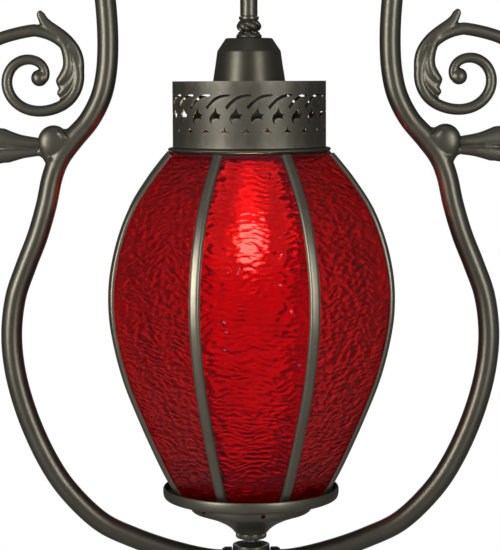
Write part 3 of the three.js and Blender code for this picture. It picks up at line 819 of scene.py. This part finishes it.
# Raised vein and the two hollows that part the leaf's lobes.
LEAF_VEIN = [(140, 31), (135.3, 24.6), (133.8, 15), (136.2, 6.4), (142, 0.7)]
LEAF_HOLLOWS = [
    [(133.4, 25), (131.6, 18), (131.6, 10.3), (135.3, 1.6), (143, -4.2)],
    [(127.6, 5), (130.6, -2.4), (136, -8.4), (142.6, -12.6)],
]


def crease_depth(lines, x, z, width):
    """How strongly a point lies on any of the lines, from 1 on a line to 0 well away from it."""
    nearest = min(math.hypot(x - px, z - pz) for line in lines for px, pz in line)
    return math.exp(-(nearest / width) ** 2)


def leaf():
    """Acanthus leaf that wraps the lamp side of the scroll, hollowed between its lobes."""
    outer, inner = curve_through(LEAF_OUTER, 0.8), curve_through(LEAF_INNER, 0.8)
    vein = [curve_through(LEAF_VEIN, 0.6)]
    hollows = [curve_through(line, 0.6) for line in LEAF_HOLLOWS]
    count, wide = 150, 30
    parts = np.linspace(0, 1, count)
    edge = []
    for line in (outer, inner):
        places = np.linspace(0, 1, len(line))
        edge.append(np.column_stack([np.interp(parts, places, line[:, k]) for k in (0, 1)]))
    verts, faces = [], []
    for side in (-1, 1):
        for part, first, second in zip(parts, *edge):
            swell = math.sin(math.pi * min(1.0, 0.1 + part * 1.02)) ** 0.4
            for j in range(wide):
                t = j / (wide - 1)
                x, z = first + (second - first) * t
                dome = (1 - (2 * t - 1) ** 4) ** 0.5
                raised = 0.5 * crease_depth(vein, x, z, 3)
                sunk = crease_depth(hollows, x, z, 2.1)
                height = dome * (1.7 + 3.0 * swell + raised - sunk)
                verts.append((x, side * max(0.05, height), z))
    block = count * wide
    for i in range(count - 1):
        for j in range(wide - 1):
            a = i * wide + j
            faces.append((a, a + 1, a + 1 + wide, a + wide))
            faces.append(tuple(block + v for v in (a + wide, a + 1 + wide, a + 1, a)))
    rim = list(range(wide)) + [i * wide + wide - 1 for i in range(1, count)]
    rim += [(count - 1) * wide + j for j in range(wide - 2, -1, -1)]
    rim += [i * wide for i in range(count - 2, 0, -1)]
    faces += [(rim[k], rim[k - 1], block + rim[k - 1], block + rim[k]) for k in range(len(rim))]
    return verts, faces


def scroll_brackets():
    z = ARM_HEIGHT
    band = bar(scroll_route(), [12.4, 11.4, 9.4, 9.4, 9.4, 9.4, 9.2, 8.8, 8.4, 8.4, 8, 6.6], 9.4)
    eye = ball((6.3, 5.4, 6.3), (SCROLL_EYE[0] - 3.8, 0, SCROLL_EYE[1] + 1.2))
    upper_route = [(ARM_START, z + 3.4), (175, z + 4.9), (188, z + 7.8), CALYX]
    upper_arm = bar(upper_route, [7.8, 11, 15.8, 11.4], 10.4)
    lower_arm = bar([
        (ARM_START, z - 2.4), (175, z - 3.7), (188, z - 6.1), (200, z - 12.5), (209, z - 24), (210, z - 37),
        (202, z - 45), (193.5, z - 42), (193, z - 34.5),
    ], [6.6, 8.8, 13, 9.4, 8, 7.4, 7, 6.4, 6.4], 10.4)
    volute = ball((4.8, 4.8, 4.8), (194.5, 0, z - 34))
    mesh = cast("scroll_casting", joined(band, eye, upper_arm, lower_arm, volute, leaf()), CASTING_VOXEL, 7)
    both_sides("scroll_casting", mesh, "lamp", CAST, "scroll_bracket")


HUB_OUTLINE = [
    (4.6, HUB_HEAD), (7, HUB_HEAD, 0.8), (10.2, 12, 1.6), (11.6, 11.6, 0.3), (12.2, 12.2, 0.4),
    (14.1, 12.2, 0.5), (14.1, 8, 0.5), (13.6, 7.2, 0.4), (13.6, -5, 1), (11.4, -9.5, 2), (8.6, -11.4, 1),
    (8, -13, 0.6), (4.6, -13),
]


def hubs():
    for name, height, node in (("top_hub_casting", HUB_TOP, "top_hub"),
                               ("bottom_hub_casting", HUB_BOTTOM, "bottom_hub")):
        drum = lathe([(r, z + height, *rest) for r, z, *rest in HUB_OUTLINE], 64)
        reach = HUB_REACH - 5
        boss = lathe([(0, -reach), (9.2, -reach, 0.8), (9.2, reach, 0.8), (0, reach)], 40)
        across = placed(boss[0], Matrix.Translation((0, 0, height)) @ Matrix.Rotation(math.pi / 2, 4, "Y"))
        piece(name, *joined(drum, (across, boss[1])), "lamp", "bronze", BRONZE, (node,))
    bore = TUBE_RADIUS - 0.4
    collar = lathe([
        (bore, 0), (9.4, 0, 0.4), (9.9, 0.8, 0.4), (9.9, 5.4, 0.5), (9.2, 6.2, 0.4), (8.8, 7.5, 0.4),
        (bore, 7.5),
    ], 48)
    for where, height in (("top", HUB_TOP), ("bottom", HUB_BOTTOM)):
        for side, label in ((1, "right"), (-1, "left")):
            turn = Matrix.Rotation(side * math.pi / 2, 4, "Y")
            spot = Matrix.Translation((side * (HUB_REACH - 4.7), 0, height)) @ turn
            piece(f"{where}_collar_{label}", placed(collar[0], spot), collar[1], "lamp", "bronze", BRONZE,
                  (f"{where}_ferrule_{label}",))


# ---------------------------------------------------------------- stem, cap, socket, bulb
ROPE_BOTTOM = 34.6
ROPE_TOP = 45.6
SCREW_PITCH = 3.5


def rope(radius, height, angle):
    """Six thick strands that wind round the coupling's belly."""
    fade = max(0.0, min(1.0, (height - ROPE_BOTTOM) / 1.4, (ROPE_TOP - height) / 1.4))
    wave = abs(math.sin(3 * angle + (height - ROPE_BOTTOM) * 0.36))
    return radius - fade * 1.9 * (1 - wave) ** 1.5


def stem_and_cap():
    turned("hanging_tube", [
        (5, HUB_TOP - 13.3), (STEM_RADIUS, HUB_TOP - 13.3, 0.3), (STEM_RADIUS, 48.3, 0.3), (5, 48.3),
    ], "lamp", "bronze", BRONZE, ("inner_stem",))
    belly = [(9.4 * math.cos(math.radians(a)) ** 0.5, 41 + 4.6 * math.sin(math.radians(a)), 0.2)
             for a in range(-60, 61, 15)]
    turned("rope_coupling", [
        (4.9, 32.2), (9.7, 32.2, 0.8), (9.5, 34, 0.9), (8.4, 35.4, 0.6), (8.2, 36.4, 0.4), *belly,
        (7.4, 45.9, 0.4), (7.5, 48, 0.4), (4.9, 48),
    ], "lamp", "bronze", BRONZE, ("twist_coupling",), segments=240, shape=rope)
    turned("bell_cap", [
        (4.9, 31.9), (17.3, 31.9, 0.7), (23.8, 22.3, 0.9), (25.2, 12, 4), (26.9, 1.5, 4), (28.5, -12, 3),
        (31, -15.5, 2), (38, -19.5, 3), (43.5, -24.5, 3), (45, -30, 0.4), (43.8, -30, 0.4),
        (42.4, -25.1, 2), (37.2, -20.4, 3), (30.1, -16.4, 2), (27.3, -12.4, 3), (25.7, 1.4, 4),
        (24, 12, 4), (22.7, 21.8, 0.9), (16.6, 30.7, 0.7), (4.9, 30.7),
    ], "lamp", "bronze", SPUN, ("socket_cap",), segments=96)
    turned("porcelain_socket", [
        (5, 16.7), (14, 16.7, 2), (19.5, 13, 3), (19.5, -10, 0.4), (18.9, -10.6, 0.4), (18.9, -12, 0.4),
        (19.5, -12.6, 0.4), (19.5, -42, 0.8), (17.6, -42, 0.6), (17.6, 9.5), (5, 9.5),
    ], "lamp", "porcelain", PORCELAIN, ("socket_shell",))
    screw = [(0, -14), (4.5, -14, 0.6), (7, -18, 0.8), (12.4, -20, 0.6)]
    for turn in range(5):
        top = -21.4 - SCREW_PITCH * turn
        screw += [(13.2, top, 0.7), (12.2, top - SCREW_PITCH / 2, 0.7)]
    turned("bulb_screw", screw + [(12.6, -39.4, 0.4), (12.2, -40, 0.3), (0, -40)],
           "lamp", "brass", BRASS, ("bulb_base",))
    globe = [(0, -40.3), (12.8, -40.3, 0.3), (13.2, -48, 6), (15.4, -58, 8), (22, -76, 12), (29.5, -93, 10)]
    for step in range(9):
        angle = math.radians(22 - 12.4 * step)
        globe.append((BULB_RADIUS * math.cos(angle), BULB_CENTRE + BULB_RADIUS * math.sin(angle), 3.5))
    globe.append((0, BULB_CENTRE - BULB_RADIUS))
    turned("frosted_bulb", globe, "lamp", "opal_glass", BULB, ("bulb_glass",))
    turned("glow_core", [
        (0, -132), (3.6, -131.2, 1), (6.8, -124, 3), (6.4, -116, 3), (3.2, -109.6, 1), (0, -109),
    ], "lamp", "opal_glass", CORE)


# ---------------------------------------------------------------- pan, neck and finial
PAN_HOLES = 6
PAN_HOLE_TURN = 11.0                 # degrees from the front to the first hole
PAN_HOLE_RADIUS = 1.7
PAN_HOLE_PLACE = (0, -46, -322)      # in the tier's upright wall
THREAD_PITCH = 1.55


def pan():
    bowl = lathe([
        (65.5, -308.6, 0.7), (66.2, -307.3, 0.8), (67, -308.6, 1.2), (67, -312.6, 2),
        (66.2, -315.5, 1.2), (63, -317, 1.5), (48, -318.9, 0.7), (47.2, -319.8, 0.6),
        (46.8, -323.6, 1.2), (45.2, -326.2, 1.2), (40, -328, 3), (30, -331.6, 5), (24.7, -334.2, 3),
        (20.9, -336.1, 2), (17, -338.7, 2), (14, -341.4, 1.6), (12.8, -343.1, 0.4), (5.3, -343.1),
        (5.3, -336), (16, -336, 3), (23.8, -332.8, 3), (29.4, -330.1, 4), (39.4, -326.5, 3),
        (44.4, -324.9, 1), (45.4, -323.6, 1), (45.9, -318.4, 0.6), (48, -317.6, 0.6),
        (62.6, -315.6, 1.5), (65, -314.3, 1.2), (65.5, -312, 1.2),
    ], 160)
    mesh = raw_mesh("spun_pan", *bowl)
    tidy(mesh)
    drills = []
    for k in range(PAN_HOLES):
        rod = lathe([(0, -5), (PAN_HOLE_RADIUS, -5, 0), (PAN_HOLE_RADIUS, 5, 0), (0, 5)], 24)
        turn = math.radians(PAN_HOLE_TURN + 360 * k / PAN_HOLES)
        spot = (Matrix.Rotation(turn, 4, "Z") @ Matrix.Translation(PAN_HOLE_PLACE)
                @ Matrix.Rotation(math.pi / 2, 4, "X"))
        drills.append((placed(rod[0], spot), rod[1]))
    mesh = drilled(mesh, joined(*drills))
    shade(mesh, 32)
    settle("spun_pan", mesh, "lamp", TURNED, ("pan",))
    turned("knurled_collar", [
        (5.3, -343.4), (11.2, -343.4, 0.4), (11.8, -344.1, 0.5), (11.8, -346.9, 0.5),
        (10.8, -347.9, 0.6), (5.3, -347.9),
    ], "lamp", "bronze", BRONZE, ("pan_collar",), segments=180,
        shape=lambda r, z, a: r - (0.35 * abs(math.sin(30 * a)) if r > 11.3 else 0))
    thread = [(2.6, -328)]
    for turn in range(30):
        top = -328 - THREAD_PITCH * turn
        thread += [(4.95, top - 0.3, 0.2), (4.35, top - 1.05, 0.2)]
    turned("threaded_neck", thread + [(4.6, -375), (2.6, -375)],
           "lamp", "steel", STEEL, ("pan_nipple",), segments=40)
    turned("drop_finial", [
        (5.3, -378.4), (9.6, -378.4, 0.6), (11, -380.4, 1), (9.8, -382.6, 1), (6.8, -384.4, 1.2),
        (6.2, -387, 1.6), (9.2, -389.8, 2.5), (12.2, -394.2, 3.5), (12.8, -399, 3.5), (10.6, -404, 3),
        (7, -407, 1.5), (5.4, -409.2, 1.2), (3.8, -412.2, 1.4), (0, -413.4), (0, -390), (5.3, -390),
    ], "lamp", "bronze", BRONZE, ("finial",))


# ---------------------------------------------------------------- ceiling fitting
def ceiling_fitting():
    turned("spun_canopy", [
        (65, 0, 0.3), (65, -3.6, 1.6), (60.4, -10.6, 7), (42, -19.6, 10), (25, -25.5, 6),
        (17.4, -28.6, 2), (16, -31, 0.8), (5.3, -31), (5.3, -29.8), (15, -29.8, 0.6), (16.4, -27.6, 2),
        (24.4, -24.3, 6), (41.4, -18.4, 10), (59.2, -9.9, 6), (63.8, -3.4, 1.4), (63.8, 0, 0.3),
    ], "canopy", "bronze", BRONZE, ("canopy_dish",), drop=0, segments=128)
    turned("bearing_cup", [
        (5.3, -31.3), (12.8, -31.3, 0.6), (13.6, -33.4, 0.9), (12.9, -35.4, 0.8), (11.6, -37.6, 0.8),
        (11.5, -51.2, 0.7), (10.8, -52, 0.5), (6.3, -52), (6.3, -49.6), (9.3, -49.6), (9.3, -44.6),
        (5.3, -44.6),
    ], "canopy", "bronze", BRONZE, ("swivel_bearing",), drop=0)
    foot = LANTERN_TOP + HUB_TOP + HUB_HEAD + 0.3
    turned("stem_tube", [
        (5, -87.3), (STEM_RADIUS, -87.3, 0.3), (STEM_RADIUS, foot, 0.3), (5, foot),
    ], "lamp", "bronze", BRONZE, ("upper_stem",), drop=0)


def soft_edged(node, name, body, material, width=0.35):
    """The CAD node's own shape with its hard edges eased."""
    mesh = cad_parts[node].data.copy()
    mesh.name = name
    tidy(mesh)
    source = linked(name, mesh)
    ease = source.modifiers.new("ease", "BEVEL")
    ease.width = width * MM
    ease.segments = 2
    ease.limit_method = "ANGLE"
    ease.angle_limit = math.radians(40)
    result = applied(source)
    bpy.data.objects.remove(source)
    result.name = name
    shade(result, 40)
    settle(name, result, body, material, (node,))


def swivel():
    soft_edged("swivel_fork", "fork_casting", "swivel_yoke", BRONZE)
    soft_edged("stem_eye", "eye_casting", "lamp", BRONZE)
    soft_edged("swivel_pin", "cross_pin", "swivel_yoke", STEEL, 0.2)
    soft_edged("mounting_strap", "ceiling_strap", "canopy", STEEL, 0.3)


# ---------------------------------------------------------------- nodes that keep their shape
def kept_nodes():
    finishes = {
        "canopy_nipple": STEEL, "socket_nipple": STEEL, "pan_nut": STEEL, "socket_liner": BRASS,
        "head_ring": BRONZE, "foot_ring": BRONZE,
    }
    for node, material in finishes.items():
        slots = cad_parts[node].data.materials
        slots.clear()
        slots.append(material)


# ---------------------------------------------------------------- camera, lights, floor
CAMERA_DISTANCE = 1.537        # metres in front of the lamp's axis
CAMERA_PITCH = math.radians(5.43)
CAMERA_ROLL = math.radians(-0.25)
CAMERA_LENS = 133.6
LIGHT_AIM = -150.0             # height of the lantern's middle, at which the lights point
WORLD_SEEN = 1.0
WORLD_DIM = 0.28
WORLD_BEHIND = 0.04
BACKDROP_BAND = ((0.04, 0.05), (0.42, 0.0))     # how far up or down, and how bright there
FLOOR_RADIUS = 1750.0
FLOOR_THICKNESS = 20.0
FLOOR_GAP = 0.42               # metres from the lamp's lowest point down to the floor


def camera():
    data = bpy.data.cameras.new("camera")
    data.lens = CAMERA_LENS
    data.sensor_width = 36.0
    data.clip_end = 50.0
    eye = linked("camera", data)
    eye.matrix_world = (Matrix.Translation((0, -CAMERA_DISTANCE, LANTERN_TOP * MM))
                        @ Matrix.Rotation(math.pi / 2 - CAMERA_PITCH, 4, "X")
                        @ Matrix.Rotation(CAMERA_ROLL, 4, "Z"))
    scene.camera = eye


def softbox(name, azimuth, distance, height, width, tall, power, warmth=1.0):
    """Panel light at an azimuth from the front, aimed at the lantern's middle."""
    data = bpy.data.lights.new(name, "AREA")
    data.shape = "RECTANGLE"
    data.size = width
    data.size_y = tall
    data.energy = power
    data.color = (1.0, warmth, warmth * warmth)
    panel = linked(name, data)
    turn = math.radians(azimuth)
    panel.location = (distance * math.sin(turn), -distance * math.cos(turn), height)
    aim = Vector((0, 0, (LANTERN_TOP + LIGHT_AIM) * MM)) - panel.location
    panel.rotation_euler = aim.to_track_quat("-Z", "Y").to_euler()


def surroundings():
    """White to the eye, dim in reflections, dimmer behind the lamp, with a faint band through glass."""
    world = bpy.data.worlds.new("surroundings")
    scene.world = world
    world.use_nodes = True
    tree = world.node_tree
    back = tree.nodes["Background"]
    path = tree.nodes.new("ShaderNodeLightPath")
    way = tree.nodes.new("ShaderNodeTexCoord")
    parts = tree.nodes.new("ShaderNodeSeparateXYZ")
    tree.links.new(way.outputs["Generated"], parts.inputs[0])
    band = tree.nodes.new("ShaderNodeValToRGB")
    band.color_ramp.interpolation = "EASE"
    level = tree.nodes.new("ShaderNodeMath")
    level.operation = "ABSOLUTE"
    tree.links.new(parts.outputs["Z"], level.inputs[0])
    tree.links.new(level.outputs[0], band.inputs["Fac"])
    for element, (place, strength) in zip(band.color_ramp.elements, BACKDROP_BAND):
        element.position = place
        element.color = (strength, strength, strength, 1)
    dim = tree.nodes.new("ShaderNodeMapRange")
    dim.inputs["To Min"].default_value = WORLD_DIM
    dim.inputs["To Max"].default_value = WORLD_BEHIND
    tree.links.new(parts.outputs["Y"], dim.inputs["Value"])
    seen = tree.nodes.new("ShaderNodeMix")
    seen.inputs["B"].default_value = WORLD_SEEN
    tree.links.new(dim.outputs["Result"], seen.inputs["A"])
    through = tree.nodes.new("ShaderNodeMath")
    through.operation = "MULTIPLY_ADD"
    tree.links.new(path.outputs["Is Camera Ray"], seen.inputs["Factor"])
    tree.links.new(path.outputs["Is Transmission Ray"], through.inputs[0])
    tree.links.new(band.outputs["Color"], through.inputs[1])
    tree.links.new(seen.outputs[0], through.inputs[2])
    tree.links.new(through.outputs[0], back.inputs["Strength"])
    back.inputs["Color"].default_value = (1, 1, 1, 1)


def floor():
    slab = [(0, 0), (FLOOR_RADIUS, 0, 1), (FLOOR_RADIUS, -FLOOR_THICKNESS, 1), (0, -FLOOR_THICKNESS)]
    mesh = raw_mesh("floor", *lathe(slab, 96), drop=0)
    tidy(mesh)
    mesh.materials.append(floor_material())
    thing = linked("floor", mesh)
    thing.location = (0, 0, cad_box[0][2] - FLOOR_GAP)


camera()
surroundings()
softbox("left_softbox", -46, distance=1.6, height=-0.27, width=0.4, tall=0.94, power=22, warmth=0.97)
softbox("right_softbox", 35, distance=1.7, height=-0.27, width=0.36, tall=0.94, power=16, warmth=0.98)
softbox("back_softbox", 180, distance=1.3, height=1.1, width=0.8, tall=0.8, power=1)
softbox("top_softbox", 0, distance=0.55, height=0.95, width=0.8, tall=0.5, power=0.8)
softbox("strip_behind", 180, distance=0.7, height=-0.58, width=0.18, tall=0.32, power=0.15)
floor()
kept_nodes()
ceiling_fitting()
swivel()
stem_and_cap()
hubs()
frame_tubes()
knuckles()
scroll_brackets()
pan()
lantern()
scene.view_settings.view_transform = "Standard"
